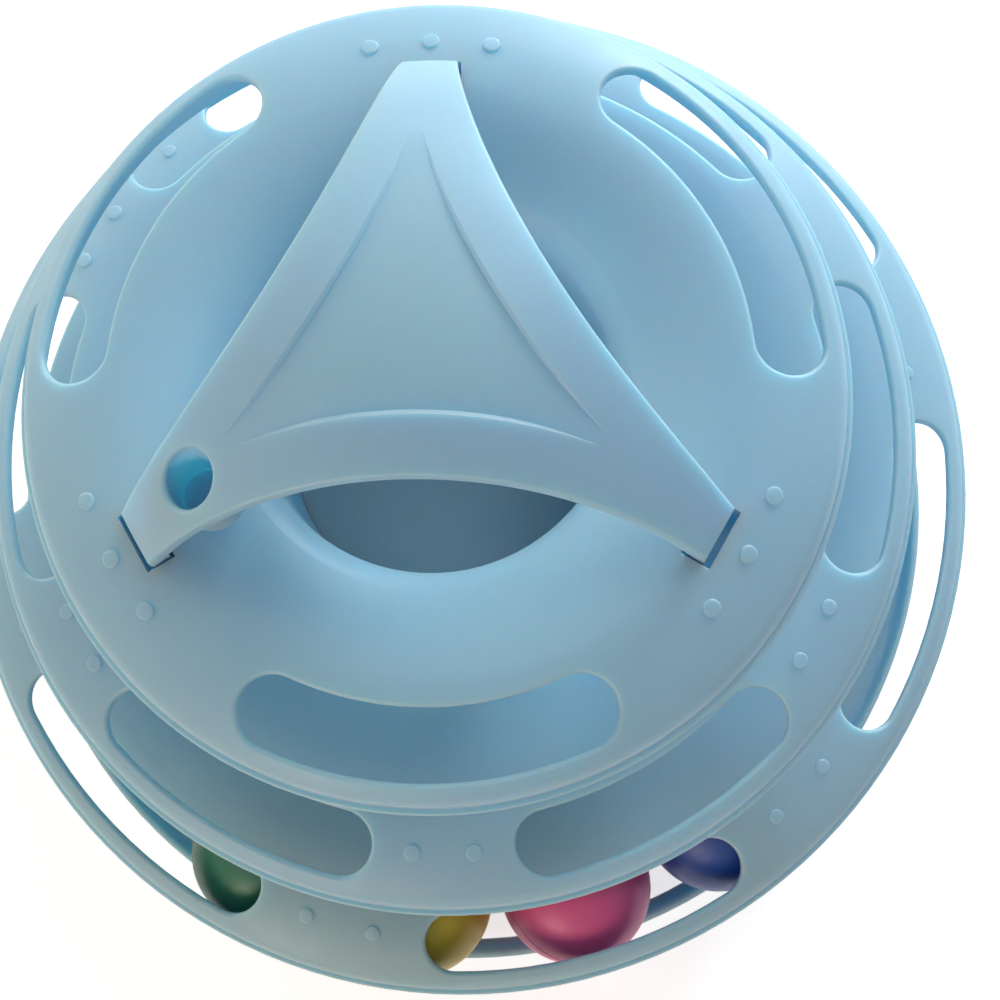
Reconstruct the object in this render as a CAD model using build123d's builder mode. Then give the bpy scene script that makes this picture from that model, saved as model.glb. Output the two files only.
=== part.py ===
"""Cat ball track toy: three roofed ball tracks stacked into a tower.

Each roof ring stands by its column on the dished floor of the ring below, and the lowest one stands on a
tray. A domed cap with three arms bridges the well of the top ring and carries a wand socket. Four hollow
balls run in the lowest track.

Millimetres, +Z up. The tower's axis is Z, the floor is Z = 0 and one cap arm points along +Y.
"""

import os
from math import acos, asin, cos, degrees, radians, sin, sqrt, tan

from build123d import *

# Tower
bottom_radius = 125.0  # outer rim of the lowest roof ring
tier_step = 21.6  # each ring is this much smaller in radius than the one below
tier_pitch = 43.0  # height from one ring to the next
wall = 2.2
fit_gap = 0.3  # clearance between pieces that lift apart

# Roof ring section
bead_width = 1.4  # the rim stands out past the roof
bead_drop = 1.2  # shoulder down to the top of the bead
rim_depth = 4.4  # shoulder down to the rim's lower edge
edge_round = 0.5
crown_inset = 23.0  # rim to crown, in plan
crown_rise = 10.0  # shoulder to crown
shoulder_turn = 5.0  # radius where the roof turns down to the rim
inner_run = 23.0  # crown to well wall, in plan
inner_drop = 14.0  # crown to the top of the well wall
inner_turn = 10.0  # radius where the roof turns down into the well
dish_corner = 2.0  # radius between the well wall and the dished floor
seat_recess = 1.5  # depth of the recess in the dished floor that seats the next column

# Paw slots and studs, on arcs measured in from the rim
slot_width = 13.8
slot_inset = 12.8
slot_edge_round = 0.7
top_slot_count = 3
top_slot_half_angle = 24.4  # to the centre of the slot's round end
lower_slot_count = 6
lower_slot_half_angle = 16.1
bottom_tier_turn = -14.2  # the lowest ring stands turned against the one above
stud_radius = 1.75
stud_height = 0.5
stud_round = 0.4
stud_inset = 13.2
stud_root = 1.0  # how far a stud reaches into the roof
top_studs_per_row = 3  # a row lies behind each arm of the cap
top_stud_pitch = 10.1  # degrees
lower_studs_per_row = 2  # a row lies between each two slots
lower_stud_pitch = 8.2

# Tray
tray_inset = 5.5  # rim of the lowest ring to the tray's edge, in plan
tray_rim_width = 2.0
tray_rim_height = 4.0  # above the track floor
tray_rim_round = 0.8
tray_corner = 2.0
tray_underside = 2.0  # above the ground
tray_wall = 2.5
collar_width = 2.0  # locating collar inside the lowest column
collar_height = 5.0
collar_round = 0.6
opening_count = 3
opening_width = 8.5
opening_inset = 8.5  # tray's edge to the middle of the opening
opening_half_angle = 24.0
opening_angle = 285.8
pad_count = 6
pad_radius = 9.0
pad_inset = 26.5  # tray's edge to the middle of a pad
pad_recess = 0.6
pad_round = 0.8
pad_gap = 0.1

# Cap
arm_angles = (90, 210, 330)
cap_inset = 19.5  # rim of the top ring to the end of an arm, in plan
cap_arm_width = 11.2
cap_arm_flare = 7.0  # angle of an arm's sides to its axis, at its end
cap_end_slope = 56.0  # the dome's slope at the end of an arm, in degrees
cap_lift = 3.3  # arm ends above the crown of the top ring
cap_wall = 2.8
cap_edge_round = 0.7
panel_inset = 23.9  # end of an arm to the corner of the sunk panel
panel_flare = 14.9  # angle of the panel's sides to an arm's axis, at its corners
panel_depth = 1.2  # at the middle of the dome
panel_fade = 0.7  # the panel runs out this far short of its corners
panel_slope = 0.8  # width of the sloped edge round the panel
panel_tip_width = 0.1  # width of the tool at those corners
foot_length = 3.8
pocket_length = 6.0
pocket_depth = 5.5  # crown to the pocket's floor
pocket_side_gap = 0.5
pocket_end_gap = 1.4  # beyond the end of an arm

# Wand socket under one arm
socket_angle = 210.0
socket_inset = 16.0  # end of the arm to the socket's middle, in plan
socket_bore = 5.1
socket_wall = 1.3
socket_length = 20.0
socket_floor = 1.6
socket_lip_round = 0.8

# Balls
ball_radius = 18.5
ball_wall = 1.6
ball_headroom = 2.0  # between a ball and the roof's crown
ball_rim_gap = 0.57  # between a ball and the rim's lower edge
ball_float = 0.3  # clearance over the track floor
ball_lap_height = 2.0
ball_lap_gap = 0.05
ball_seam_chamfer = 0.25
ball_row_angle = 242.2  # where the first ball lies, round the tower
ball_gap = 2.03  # from one ball to the next
seam_tilts = {  # tilt of each ball's seam about X and Y, in the order that the balls lie
    "green": (10, 20),
    "yellow": (-10, 5),
    "pink": (-15, 25),
    "blue": (10, 10),
}

# Levels and radii that follow from these
bottom, middle, top = range(3)  # places of the tiers in the lists below
tiers = (bottom, middle, top)
track_floor = tray_underside + tray_wall
ball_level = track_floor + ball_float + ball_radius
ring_width = crown_inset + inner_run
bottom_crown = ball_level + ball_radius + ball_headroom + wall
tier_radii = [bottom_radius - tier * tier_step for tier in tiers]
well_radii = [radius - ring_width for radius in tier_radii]
crown_levels = [bottom_crown + tier * tier_pitch for tier in tiers]
dish_levels = [crown - inner_drop - dish_corner for crown in crown_levels]
seat_levels = [track_floor] + [dish - seat_recess for dish in dish_levels[:top]]
rim_inside = bottom_radius - bead_width - wall
rim_underside = bottom_crown - crown_rise - rim_depth
ball_track_radius = rim_inside - ball_rim_gap - sqrt(ball_radius**2 - (rim_underside - ball_level) ** 2)
tray_radius = bottom_radius - tray_inset
pad_ring_radius = tray_radius - pad_inset
cap_reach = tier_radii[top] - cap_inset
socket_radius = cap_reach - socket_inset
panel_reach = cap_reach - panel_inset
pocket_floor = crown_levels[top] - pocket_depth
arm_end_level = crown_levels[top] + cap_lift
dome_radius = cap_reach / sin(radians(cap_end_slope))
cap_rise = dome_radius * (1 - cos(radians(cap_end_slope)))
dome_top = arm_end_level + cap_rise
dome_centre = (0, 0, dome_top - dome_radius)


def main_arc(run, drop, turn):
    """Radius and sweep of an arc that, with one of radius turn, goes from level to upright."""
    radius = ((run - turn) ** 2 + drop**2 - turn**2) / (2 * (drop - turn))
    return radius, degrees(acos((radius - drop) / (radius - turn)))


roof_arc, roof_sweep = main_arc(crown_inset - bead_width, crown_rise, shoulder_turn)
inner_arc, inner_sweep = main_arc(inner_run, inner_drop, inner_turn)


def roof_drop(inset):
    """How far the outer roof lies below its crown at an inset from the rim."""
    return roof_arc - sqrt(roof_arc**2 - (crown_inset - inset) ** 2)


def polar(radius, angle, level=0.0):
    return radius * cos(radians(angle)), radius * sin(radians(angle)), level


def around(count, first=0.0):
    """Angles of count copies spread evenly round the axis."""
    return [first + i * 360 / count for i in range(count)]


def rows(centres, pitch, count):
    """Angles of count studs at a pitch, centred on each of the centres."""
    return [centre + (i - (count - 1) / 2) * pitch for centre in centres for i in range(count)]


def arc_slot(radius, angle, half_angle, width):
    """A curved slot round the axis, for use inside a sketch."""
    middle_line = CenterArc((0, 0), radius, angle - half_angle, 2 * half_angle, mode=Mode.PRIVATE)
    SlotArc(middle_line, width)


def stud_planes(index, angles):
    """One plane per stud, square to the roof and a stud's root below it."""
    slope = acos((roof_arc - roof_drop(stud_inset)) / roof_arc)
    level = crown_levels[index] - roof_drop(stud_inset)
    for angle in angles:
        foot = polar(tier_radii[index] - stud_inset, angle, level)
        yield Plane(foot, z_dir=polar(sin(slope), angle, cos(slope))).offset(-stud_root)


def on_roof(edge, index):
    """True for an edge that lies on the upper face of a tier's roof."""
    point = edge @ 0.5
    inset = tier_radii[index] - sqrt(point.X**2 + point.Y**2)
    return abs(point.Z - crown_levels[index] + roof_drop(inset)) < wall / 4


def build_tier(index, slot_angles, slot_half_angle, stud_angles):
    """Roof ring of one tier with its column, paw slots and studs.

    The lower rings have a dished floor, with a recess that seats the next ring's column. The top ring's
    well stays open.
    """
    radius = tier_radii[index]
    roof_edge = radius - bead_width
    crown_at = radius - crown_inset
    crown = crown_levels[index]
    shoulder = crown - crown_rise
    well = well_radii[index]
    well_top = crown - inner_drop
    dish = dish_levels[index]
    seat = seat_levels[index]
    with BuildPart() as tier:
        with BuildSketch(Plane.XZ):
            with BuildLine():
                over = JernArc((crown_at, crown), (1, 0), roof_arc, -roof_sweep)
                JernArc(over @ 1, over % 1, shoulder_turn, roof_sweep - 90)
                FilletPolyline(
                    (roof_edge, shoulder),
                    (roof_edge, shoulder - bead_drop),
                    (radius, shoulder - bead_drop),
                    (radius, shoulder - rim_depth),
                    (roof_edge - wall, shoulder - rim_depth),
                    (roof_edge - wall, shoulder),
                    radius=edge_round,
                )
                under = JernArc((roof_edge - wall, shoulder), (0, 1), shoulder_turn - wall, 90 - roof_sweep)
                JernArc(under @ 1, under % 1, roof_arc - wall, roof_sweep)
                inside = JernArc((crown_at, crown - wall), (-1, 0), inner_arc - wall, inner_sweep)
                JernArc(inside @ 1, inside % 1, inner_turn - wall, 90 - inner_sweep)
                Polyline((well + wall, well_top), (well + wall, seat), (well, seat))
                if index == top:
                    Line((well, seat), (well, well_top))
                else:
                    recess = well_radii[index + 1] + wall + fit_gap
                    floor = seat_levels[index + 1]
                    Polyline(
                        (well, seat),
                        (well, dish - wall),
                        (recess + wall, dish - wall),
                        (recess + wall, floor - wall),
                        (0, floor - wall),
                        (0, floor),
                        (recess, floor),
                        (recess, dish),
                        (well - dish_corner, dish),
                    )
                    JernArc((well - dish_corner, dish), (1, 0), dish_corner, 90)
                turn = JernArc((well, well_top), (0, 1), inner_turn, inner_sweep - 90)
                JernArc(turn @ 1, turn % 1, inner_arc, -inner_sweep)
            make_face()
        revolve(axis=Axis.Z)
        with BuildSketch(Plane.XY.offset(shoulder)):
            for angle in slot_angles:
                arc_slot(radius - slot_inset, angle, slot_half_angle, slot_width)
        extrude(amount=crown_rise, mode=Mode.SUBTRACT)
        fillet(tier.edges(Select.LAST).filter_by(lambda edge: on_roof(edge, index)), slot_edge_round)
        with Locations(*stud_planes(index, stud_angles)):
            Cylinder(stud_radius, stud_root + stud_height, align=(Align.CENTER, Align.CENTER, Align.MIN))
        fillet(tier.edges(Select.LAST).filter_by(GeomType.CIRCLE), stud_round)
    return tier


def build_lower_tier(index, turn):
    """One of the lower rings, turned about the axis, with a row of studs between each two slots."""
    slot_angles = around(lower_slot_count, turn)
    stud_centres = around(lower_slot_count, turn + 180 / lower_slot_count)
    stud_angles = rows(stud_centres, lower_stud_pitch, lower_studs_per_row)
    return build_tier(index, slot_angles, lower_slot_half_angle, stud_angles)


def hollow_triangle(reach, end_width, flare):
    """Outline of three arms with square ends, joined by sides that curve in, for use inside a sketch."""
    side_turn = radians(90 - 180 / len(arm_angles) - flare)
    corners = []
    for angle in arm_angles:
        end = Vector(*polar(reach, angle))
        aside = Vector(*polar(end_width / 2, angle + 90))
        corners += [end - aside, end + aside]
    with BuildLine() as outline:
        for i in range(1, len(corners), 2):
            start, end = corners[i], corners[(i + 1) % len(corners)]
            Line(corners[i - 1], start)
            SagittaArc(start, end, (end - start).length / 2 * tan(side_turn / 2))
    make_face(outline.edges())


def build_top_tier():
    """The top ring, with three pockets for the cap's feet in its crown."""
    tier = build_tier(
        top,
        around(top_slot_count, arm_angles[0] + 180),
        top_slot_half_angle,
        rows(arm_angles, top_stud_pitch, top_studs_per_row),
    )
    pocket_radius = cap_reach + pocket_end_gap - pocket_length / 2
    pocket_width = cap_arm_width + 2 * pocket_side_gap
    pocket_ring = (pocket_radius, len(arm_angles), arm_angles[0])
    with BuildPart() as top_ring:
        add(tier.part)
        with Locations((0, 0, pocket_floor - wall)), PolarLocations(*pocket_ring):
            Box(
                pocket_length + 2 * wall,
                pocket_width + 2 * wall,
                pocket_depth + wall / 2,
                align=(Align.CENTER, Align.CENTER, Align.MIN),
            )
        with Locations((0, 0, pocket_floor)), PolarLocations(*pocket_ring):
            Box(
                pocket_length,
                pocket_width,
                pocket_depth + wall,
                align=(Align.CENTER, Align.CENTER, Align.MIN),
                mode=Mode.SUBTRACT,
            )
    return top_ring


def on_dome(edge):
    """True for an edge that lies on the cap's dome."""
    return abs((edge @ 0.5 - Vector(*dome_centre)).length - dome_radius) < panel_depth / 4


# Tool for the sunk panel: everything above a flatter dome that meets the cap's dome near the corners
panel_edge = panel_reach - panel_fade
panel_top = dome_top - panel_depth
panel_rise = panel_top - dome_centre[2] - sqrt(dome_radius**2 - panel_edge**2)
panel_dome_radius = (panel_edge**2 + panel_rise**2) / (2 * panel_rise)
with BuildPart() as panel_tool:
    with BuildSketch(Plane.XY.offset(arm_end_level)):
        hollow_triangle(panel_reach, panel_tip_width, panel_flare)
    extrude(amount=cap_rise + cap_wall)
    with Locations((0, 0, panel_top - panel_dome_radius)):
        Sphere(panel_dome_radius, mode=Mode.SUBTRACT)

socket_place = polar(socket_radius, socket_angle)
socket_bottom = dome_centre[2] + sqrt(dome_radius**2 - socket_radius**2) - socket_length
with BuildPart() as socket_tube:
    with BuildSketch(Plane.XY.offset(socket_bottom)):
        with Locations(socket_place):
            Circle(socket_bore + socket_wall)
    extrude(amount=cap_rise)
    with Locations(dome_centre):
        Sphere(dome_radius, mode=Mode.INTERSECT)

with BuildPart() as triangle_cap:
    with BuildSketch(Plane.XY.offset(pocket_floor)):
        hollow_triangle(cap_reach, cap_arm_width, cap_arm_flare)
    extrude(amount=dome_top - pocket_floor)
    with Locations(dome_centre):
        Sphere(dome_radius - cap_wall, mode=Mode.SUBTRACT)
    with BuildSketch(Plane.XY.offset(pocket_floor)):
        with PolarLocations(cap_reach - foot_length / 2, len(arm_angles), arm_angles[0]):
            Rectangle(foot_length, cap_arm_width)
    extrude(amount=dome_top - pocket_floor)
    with Locations(dome_centre):
        Sphere(dome_radius, mode=Mode.INTERSECT)
    dome_face = triangle_cap.faces().filter_by(GeomType.SPHERE).sort_by(SortBy.AREA)[-1]
    fillet(dome_face.outer_wire().edges(), cap_edge_round)
    add(panel_tool.part, mode=Mode.SUBTRACT)
    chamfer(triangle_cap.edges(Select.LAST).filter_by(on_dome).filter_by(GeomType.BSPLINE), panel_slope)
    add(socket_tube.part)
    with BuildSketch(Plane.XY.offset(socket_bottom + socket_floor)):
        with Locations(socket_place):
            Circle(socket_bore)
    extrude(amount=cap_rise, mode=Mode.SUBTRACT)
    fillet(triangle_cap.edges(Select.LAST).sort_by(Axis.Z)[-1], socket_lip_round)

with BuildPart() as base_tray:
    tray_inside = tray_radius - tray_rim_width
    rim_top = track_floor + tray_rim_height
    collar = well_radii[bottom] - fit_gap
    collar_top = track_floor + collar_height
    with BuildSketch(Plane.XZ):
        with BuildLine():
            Polyline((0, track_floor), (0, tray_underside), (tray_radius - tray_corner, tray_underside))
            JernArc((tray_radius - tray_corner, tray_underside), (1, 0), tray_corner, 90)
            FilletPolyline(
                (tray_radius, tray_underside + tray_corner),
                (tray_radius, rim_top),
                (tray_inside, rim_top),
                (tray_inside, track_floor),
                (collar, track_floor),
                radius=[tray_rim_round, tray_rim_round, tray_corner],
            )
            FilletPolyline(
                (collar, track_floor),
                (collar, collar_top),
                (collar - collar_width, collar_top),
                (collar - collar_width, track_floor),
                radius=collar_round,
            )
            Line((collar - collar_width, track_floor), (0, track_floor))
        make_face()
    revolve(axis=Axis.Z)
    with BuildSketch(Plane.XY.offset(tray_underside)):
        for angle in around(opening_count, opening_angle):
            arc_slot(tray_radius - opening_inset, angle, opening_half_angle, opening_width)
    extrude(amount=tray_wall, mode=Mode.SUBTRACT)
    with BuildSketch(Plane.XY.offset(tray_underside)):
        with PolarLocations(pad_ring_radius, pad_count):
            Circle(pad_radius + pad_gap)
    extrude(amount=pad_recess, mode=Mode.SUBTRACT)


def build_foot_pad(angle):
    """Soft round pad set in the tray's underside, standing on the ground."""
    with BuildPart() as pad:
        with BuildSketch():
            with Locations(polar(pad_ring_radius, angle)):
                Circle(pad_radius)
        extrude(amount=tray_underside + pad_recess)
        fillet(pad.edges().sort_by(Axis.Z)[0], pad_round)
    return pad


def ball_angle(colour):
    """Where a ball lies round the tower: each one a gap beyond the ball before it."""
    step = degrees(2 * asin((ball_radius + ball_gap / 2) / ball_track_radius))
    return ball_row_angle + list(seam_tilts).index(colour) * step


def ball_section(colour):
    """Upright section plane of a ball, its Y across the seam, at the ball's place in the track."""
    centre = polar(ball_track_radius, ball_angle(colour), ball_level)
    seam = Plane(centre).rotated((*seam_tilts[colour], 0))
    return Plane(centre, x_dir=seam.x_dir, z_dir=-seam.y_dir)


def chamfer_point(side):
    """Where the seam's chamfer meets the ball's skin, above the seam for side 1 and below for -1."""
    return sqrt(ball_radius**2 - ball_seam_chamfer**2), side * ball_seam_chamfer


ball_inside = ball_radius - ball_wall
lap_radius = ball_radius - ball_wall / 2
seam_edge = ball_radius - ball_seam_chamfer


def build_ball_upper(colour):
    """Half shell with a tongue that laps into the other half."""
    section = ball_section(colour)
    tongue = lap_radius - ball_lap_gap
    with BuildPart() as half:
        with BuildSketch(section):
            with BuildLine():
                RadiusArc((0, ball_radius), chamfer_point(1), ball_radius)
                Polyline(
                    chamfer_point(1),
                    (seam_edge, 0),
                    (tongue, 0),
                    (tongue, -ball_lap_height),
                    (ball_inside, -ball_lap_height),
                    (ball_inside, 0),
                )
                RadiusArc((ball_inside, 0), (0, ball_inside), -ball_inside)
                Line((0, ball_inside), (0, ball_radius))
            make_face()
        revolve(axis=Axis(section.origin, section.y_dir))
    return half


def build_ball_lower(colour):
    """Half shell with a rebate for the other half's tongue."""
    section = ball_section(colour)
    rebate = -ball_lap_height - ball_lap_gap
    rebate_inside = sqrt(ball_inside**2 - rebate**2)
    with BuildPart() as half:
        with BuildSketch(section):
            with BuildLine():
                RadiusArc((0, -ball_radius), chamfer_point(-1), -ball_radius)
                Polyline(
                    chamfer_point(-1),
                    (seam_edge, 0),
                    (lap_radius, 0),
                    (lap_radius, rebate),
                    (rebate_inside, rebate),
                )
                RadiusArc((rebate_inside, rebate), (0, -ball_inside), ball_inside)
                Line((0, -ball_inside), (0, -ball_radius))
            make_face()
        revolve(axis=Axis(section.origin, section.y_dir))
    return half


pieces = {
    "base_tray": base_tray,
    "bottom_tier": build_lower_tier(bottom, bottom_tier_turn),
    "middle_tier": build_lower_tier(middle, 0),
    "top_tier": build_top_tier(),
    "triangle_cap": triangle_cap,
}
for number, angle in enumerate(around(pad_count), start=1):
    pieces[f"foot_pad_{number}"] = build_foot_pad(angle)
for colour in seam_tilts:
    pieces[f"ball_{colour}_upper"] = build_ball_upper(colour)
    pieces[f"ball_{colour}_lower"] = build_ball_lower(colour)

os.makedirs("parts", exist_ok=True)
for name, piece in pieces.items():
    piece.part.label = name
    export_step(piece.part, f"parts/{name}.step")
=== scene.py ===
"""The cat ball track toy dressed for its picture: milky blue rings, cap and tray, pads and satin balls.

The rings, the cap, the tray and the balls are shown as they are built. The soft pads under the tray are
modelled here. Lengths are written in millimetres and brought to metres where they are used.
"""

from math import cos, pi, radians, sin

import bmesh
import bpy
from mathutils import Matrix, Vector


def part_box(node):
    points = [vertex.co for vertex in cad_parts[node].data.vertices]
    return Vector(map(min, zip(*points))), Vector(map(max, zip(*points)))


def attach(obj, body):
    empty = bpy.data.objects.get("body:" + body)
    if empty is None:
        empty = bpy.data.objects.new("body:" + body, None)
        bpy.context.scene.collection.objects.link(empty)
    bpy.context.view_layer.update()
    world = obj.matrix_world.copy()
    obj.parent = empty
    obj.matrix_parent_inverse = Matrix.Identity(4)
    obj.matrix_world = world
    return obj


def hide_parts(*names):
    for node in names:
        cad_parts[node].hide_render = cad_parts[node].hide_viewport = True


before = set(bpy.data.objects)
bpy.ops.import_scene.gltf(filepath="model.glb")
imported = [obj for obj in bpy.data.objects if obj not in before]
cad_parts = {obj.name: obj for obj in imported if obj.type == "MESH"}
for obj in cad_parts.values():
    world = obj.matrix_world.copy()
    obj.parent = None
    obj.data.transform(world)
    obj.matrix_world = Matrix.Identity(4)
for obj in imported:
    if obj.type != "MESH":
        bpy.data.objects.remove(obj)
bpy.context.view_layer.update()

MM = 0.001

# Camera of the photograph, with its angles in radians
CAMERA_PLACE = Vector((25.15, -75.72, 415.24))
CAMERA_AZIMUTH = -0.2186
CAMERA_DIP = 1.3858
CAMERA_ROLL = -0.2234
CAMERA_LENS = 55.8
CAMERA_SENSOR = 36.0
CAMERA_NEAREST = 10  # what lies nearer than this isn't seen

# Light and floor
TOWER_MIDDLE = Vector((0, 0, 80))  # the lamps face this point
LAMP_DISTANCE = 1200
LAMP_WIDTH = 500
ROOM_TINT = (0.93, 0.97, 1.0, 1)
ROOM_LIGHT = 0.19
PALE_ROOM = 0.9  # how bright the room looks to the camera and in reflections
FLOOR_WIDTH = 6000
FLOOR_COLOUR = (0.80, 0.79, 0.78, 1)
FLOOR_ROUGHNESS = 0.8
FLOOR_GLOW = (1, 1, 1, 1)
FLOOR_LIFT = 0.7  # how much brighter the floor looks than it is lit

# Soft pads
PAD_COUNT = 6
PAD_STEPS = 72
PAD_EDGE_ROUND = 0.7
PAD_EDGE_STEPS = 4
PAD_GROOVES = (2.4, 4.6)  # insets of the moulded grooves in the sole
PAD_GROOVE_WIDTH = 0.7
PAD_GROOVE_DEPTH = 0.35
SMOOTH_ANGLE = radians(40)
FACES_DOWN = -0.9  # a face points down where its normal's height is below this

# A pattern's values, from which the lower shade starts and at which the upper one is reached
PATTERN_LOW, PATTERN_HIGH = 0.3, 0.7


# Modelling steps


def select_only(piece):
    bpy.ops.object.select_all(action="DESELECT")
    piece.select_set(True)
    bpy.context.view_layer.objects.active = piece


def select_faces(piece, wanted):
    """Selects the faces that are wanted, in edit mode."""
    bpy.ops.mesh.select_mode(type="FACE")
    bpy.ops.mesh.select_all(action="DESELECT")
    mesh = bmesh.from_edit_mesh(piece.data)
    for face in mesh.faces:
        face.select_set(wanted(face))
    bmesh.update_edit_mesh(piece.data)


def is_sole(face):
    """True for the flat face in the middle of a pad's underside."""
    return face.normal.z < FACES_DOWN and len(face.verts) == PAD_STEPS


def foot_pad(node, finish):
    """A soft disc in the place of its node: a rounded lower edge, and round grooves in its sole for grip."""
    low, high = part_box(node)
    middle = (low + high) / 2
    bpy.ops.object.select_all(action="DESELECT")
    bpy.ops.mesh.primitive_cylinder_add(
        vertices=PAD_STEPS,
        radius=(high.x - low.x) / 2,
        depth=high.z - low.z,
        location=middle,
    )
    pad = bpy.context.object
    bpy.ops.object.transform_apply(location=True, rotation=True, scale=True)
    bpy.ops.object.mode_set(mode="EDIT")
    select_faces(pad, is_sole)
    bpy.ops.mesh.bevel(offset=PAD_EDGE_ROUND * MM, segments=PAD_EDGE_STEPS)
    reached = PAD_EDGE_ROUND
    for inset in PAD_GROOVES:
        select_faces(pad, is_sole)
        bpy.ops.mesh.inset(thickness=(inset - reached) * MM)
        bpy.ops.mesh.inset(thickness=PAD_GROOVE_WIDTH / 2 * MM, depth=-PAD_GROOVE_DEPTH * MM)
        bpy.ops.mesh.inset(thickness=PAD_GROOVE_WIDTH / 2 * MM, depth=PAD_GROOVE_DEPTH * MM)
        reached = inset + PAD_GROOVE_WIDTH
    bpy.ops.mesh.select_all(action="SELECT")
    bpy.ops.mesh.normals_make_consistent(inside=False)
    bpy.ops.object.mode_set(mode="OBJECT")
    select_only(pad)
    bpy.ops.object.shade_smooth_by_angle(angle=SMOOTH_ANGLE)
    pad.data.materials.append(finish)
    return pad


def add_foot_pads(finish):
    """The first pad is modelled, and the others are copies of it turned about the tower's axis."""
    first = foot_pad("foot_pad_1", finish)
    for i in range(PAD_COUNT):
        pad = first
        if i:
            select_only(first)
            bpy.ops.object.duplicate()
            pad = bpy.context.object
            pad.data.transform(Matrix.Rotation(2 * pi * i / PAD_COUNT, 4, "Z"))
        pad.name = f"soft_pad_{i + 1}"
        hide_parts(f"foot_pad_{i + 1}")
        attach(pad, "base")


# Finishes


class Finish:
    """A material in the making, with its patterns on the piece's own coordinates."""

    def __init__(self, name):
        self.material = bpy.data.materials.new(name)
        self.material.use_nodes = True
        self.tree = self.material.node_tree
        self.shader = self.tree.nodes["Principled BSDF"]
        self.where = self.tree.nodes.new("ShaderNodeTexCoord").outputs["Object"]

    def add(self, kind, **values):
        """A new node, with the values of its inputs by their names in small letters."""
        node = self.tree.nodes.new(kind)
        for name, value in values.items():
            node.inputs[name.replace("_", " ").title()].default_value = value
        return node

    def link(self, source, target):
        self.tree.links.new(source, target)

    def set(self, **values):
        """Sets values that are the same all over the surface."""
        for name, value in values.items():
            self.shader.inputs[name.replace("_", " ").title()].default_value = value

    def cloud(self, size, detail, roughness=0.5):
        """A soft pattern of blotches of a size."""
        pattern = self.add("ShaderNodeTexNoise", scale=1 / (size * MM), detail=detail, roughness=roughness)
        self.link(self.where, pattern.inputs["Vector"])
        return pattern.outputs["Fac"]

    def cells(self, size):
        """A pattern of rounded cells of a size."""
        pattern = self.add("ShaderNodeTexVoronoi", scale=1 / (size * MM))
        pattern.feature = "SMOOTH_F1"
        self.link(self.where, pattern.inputs["Vector"])
        return pattern.outputs["Distance"]

    def colour(self, pattern, deep, pale):
        """Lays two shades over the surface by a pattern."""
        ramp = self.add("ShaderNodeValToRGB")
        places = (PATTERN_LOW, PATTERN_HIGH)
        for element, place, shade in zip(ramp.color_ramp.elements, places, (deep, pale)):
            element.position = place
            element.color = (*shade, 1)
        self.link(pattern, ramp.inputs["Fac"])
        self.link(ramp.outputs["Color"], self.shader.inputs["Base Color"])

    def gloss(self, pattern, shiny, dull):
        """Varies the roughness by a pattern."""
        spread = self.add(
            "ShaderNodeMapRange",
            from_min=PATTERN_LOW,
            from_max=PATTERN_HIGH,
            to_min=shiny,
            to_max=dull,
        )
        self.link(pattern, spread.inputs["Value"])
        self.link(spread.outputs["Result"], self.shader.inputs["Roughness"])

    def skin(self, *layers):
        """Raises the surface by patterns, each with its height and strength, one over the other."""
        below = None
        for pattern, height, strength in layers:
            bump = self.add("ShaderNodeBump", distance=height * MM, strength=strength)
            self.link(pattern, bump.inputs["Height"])
            if below:
                self.link(below.outputs["Normal"], bump.inputs["Normal"])
            below = bump
        self.link(below.outputs["Normal"], self.shader.inputs["Normal"])


def milky_blue_plastic():
    """Moulded plastic that light soaks into, with faint clouds, a satin grain and smudged gloss."""
    finish = Finish("milky_blue_plastic")
    finish.colour(finish.cloud(size=40, detail=3), (0.425, 0.640, 0.805), (0.455, 0.670, 0.830))
    finish.gloss(finish.cloud(size=9, detail=4, roughness=0.6), shiny=0.40, dull=0.52)
    finish.skin(
        (finish.cloud(size=6, detail=2), 0.05, 0.15),
        (finish.cloud(size=0.45, detail=2), 0.02, 0.25),
    )
    finish.set(
        subsurface_weight=1.0,
        subsurface_radius=(0.3, 0.75, 1.0),
        subsurface_scale=8.0 * MM,
    )
    return finish.material


def ball_plastic(name, deep, pale):
    """Satin blown plastic, clouded a little, with fine scuffs from rolling."""
    finish = Finish(name)
    finish.colour(finish.cloud(size=14, detail=3), deep, pale)
    finish.gloss(finish.cloud(size=3, detail=5, roughness=0.65), shiny=0.36, dull=0.50)
    finish.skin(
        (finish.cloud(size=4, detail=2), 0.04, 0.2),
        (finish.cloud(size=0.3, detail=3), 0.01, 0.2),
    )
    finish.set(
        subsurface_weight=0.3,
        subsurface_radius=(1.0, 1.0, 1.0),
        subsurface_scale=0.8 * MM,
    )
    return finish.material


def foam_rubber():
    """Pale soft foam with closed cells and rubbed, uneven colour."""
    finish = Finish("pale_foam_rubber")
    rubbed = finish.cloud(size=3, detail=4, roughness=0.6)
    finish.colour(rubbed, (0.56, 0.58, 0.59), (0.66, 0.68, 0.69))
    finish.gloss(finish.cloud(size=1.5, detail=3), shiny=0.70, dull=0.86)
    finish.skin((finish.cells(size=0.5), 0.06, 0.5))
    return finish.material


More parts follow.
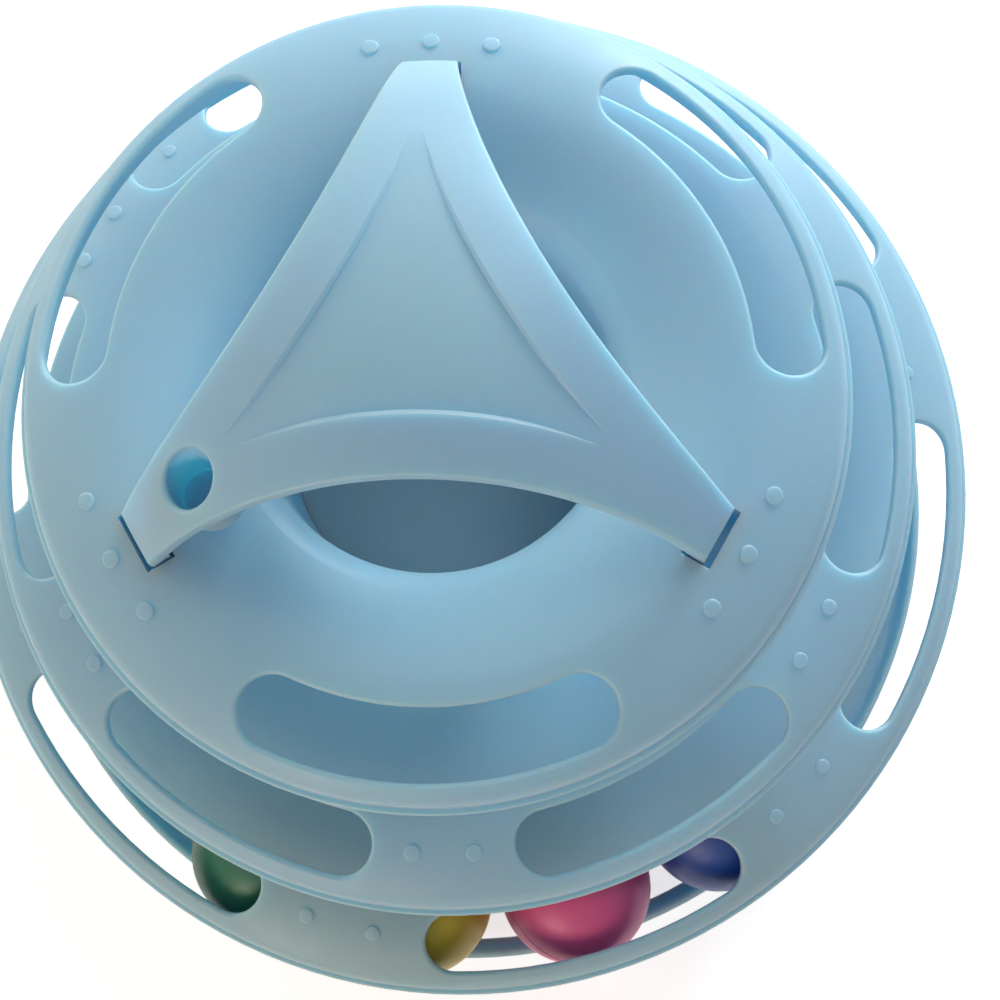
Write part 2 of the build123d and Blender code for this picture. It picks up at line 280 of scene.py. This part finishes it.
blue_plastic = milky_blue_plastic()
ball_finishes = {
    "green": ball_plastic("green_ball_plastic", (0.030, 0.170, 0.085), (0.045, 0.215, 0.115)),
    "yellow": ball_plastic("yellow_ball_plastic", (0.70, 0.52, 0.030), (0.78, 0.60, 0.045)),
    "pink": ball_plastic("pink_ball_plastic", (0.92, 0.120, 0.330), (0.95, 0.150, 0.375)),
    "blue": ball_plastic("blue_ball_plastic", (0.014, 0.070, 0.350), (0.020, 0.088, 0.410)),
}
for name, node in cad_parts.items():
    node.data.materials.clear()
    if name.startswith("ball"):
        node.data.materials.append(ball_finishes[name.split("_")[1]])
    elif not name.startswith("foot_pad"):
        node.data.materials.append(blue_plastic)
add_foot_pads(foam_rubber())


# Camera, light and floor


def photo_camera():
    """The camera where the photograph was taken from."""
    flat = cos(CAMERA_DIP)
    ahead = Vector((flat * sin(CAMERA_AZIMUTH), flat * cos(CAMERA_AZIMUTH), -sin(CAMERA_DIP)))
    level = ahead.cross(Vector((0, 0, 1))).normalized()
    upright = level.cross(ahead)
    right = level * cos(CAMERA_ROLL) + upright * sin(CAMERA_ROLL)
    up = upright * cos(CAMERA_ROLL) - level * sin(CAMERA_ROLL)
    bpy.ops.object.camera_add()
    camera = bpy.context.object
    camera.name = "photo_camera"
    turn = Matrix((right, up, -ahead)).transposed().to_4x4()
    camera.matrix_world = Matrix.Translation(CAMERA_PLACE * MM) @ turn
    camera.data.sensor_width = CAMERA_SENSOR
    camera.data.lens = CAMERA_LENS
    camera.data.clip_start = CAMERA_NEAREST * MM
    bpy.context.scene.camera = camera


def softbox(name, height, bearing, power, tint):
    """A square lamp that faces the tower, by its height and bearing in degrees as seen from there."""
    rise, turn = radians(height), radians(bearing)
    direction = Vector((cos(rise) * cos(turn), cos(rise) * sin(turn), sin(rise)))
    bpy.ops.object.light_add(type="AREA")
    lamp = bpy.context.object
    lamp.name = name
    lamp.location = (TOWER_MIDDLE + direction * LAMP_DISTANCE) * MM
    lamp.rotation_euler = direction.to_track_quat("Z", "Y").to_euler()
    lamp.data.size = LAMP_WIDTH * MM
    lamp.data.energy = power
    lamp.data.color = tint


def seen_ray(nodes, links):
    """1 where the camera looks, also in a reflection or through glass, and 0 where light only falls."""
    ray = nodes.new("ShaderNodeLightPath")
    seen = ray.outputs["Is Camera Ray"]
    for kind in ("Is Glossy Ray", "Is Transmission Ray"):
        either = nodes.new("ShaderNodeMath")
        either.operation = "MAXIMUM"
        links.new(seen, either.inputs[0])
        links.new(ray.outputs[kind], either.inputs[1])
        seen = either.outputs["Value"]
    return seen


def pale_floor():
    """A plain floor that keeps the tower's shadow and looks pale to the camera, however the lamps stand."""
    bpy.ops.mesh.primitive_plane_add(size=FLOOR_WIDTH * MM)
    floor = bpy.context.object
    floor.name = "floor"
    material = bpy.data.materials.new("pale_floor")
    material.use_nodes = True
    nodes, links = material.node_tree.nodes, material.node_tree.links
    shader = nodes["Principled BSDF"]
    shader.inputs["Base Color"].default_value = FLOOR_COLOUR
    shader.inputs["Roughness"].default_value = FLOOR_ROUGHNESS
    shader.inputs["Emission Color"].default_value = FLOOR_GLOW
    lift = nodes.new("ShaderNodeMapRange")
    lift.inputs["To Max"].default_value = FLOOR_LIFT
    links.new(seen_ray(nodes, links), lift.inputs["Value"])
    links.new(lift.outputs["Result"], shader.inputs["Emission Strength"])
    floor.data.materials.append(material)


def soft_room():
    """Even light from all round, from a room that looks pale to the camera."""
    world = bpy.data.worlds.new("soft_room")
    bpy.context.scene.world = world
    world.use_nodes = True
    nodes, links = world.node_tree.nodes, world.node_tree.links
    room = nodes["Background"]
    room.inputs["Color"].default_value = ROOM_TINT
    level = nodes.new("ShaderNodeMapRange")
    level.inputs["To Min"].default_value = ROOM_LIGHT
    level.inputs["To Max"].default_value = PALE_ROOM
    links.new(seen_ray(nodes, links), level.inputs["Value"])
    links.new(level.outputs["Result"], room.inputs["Strength"])


photo_camera()
softbox("window_light", height=15, bearing=64, power=12.6, tint=(0.76, 0.89, 1.0))
softbox("high_light", height=52, bearing=55, power=2.4, tint=(0.80, 0.92, 1.0))
softbox("side_light", height=15, bearing=150, power=3.6, tint=(1.0, 0.96, 0.80))
softbox("room_light", height=20, bearing=245, power=4.3, tint=(1.0, 0.78, 0.60))
soft_room()
pale_floor()
bpy.context.scene.view_settings.view_transform = "Standard"
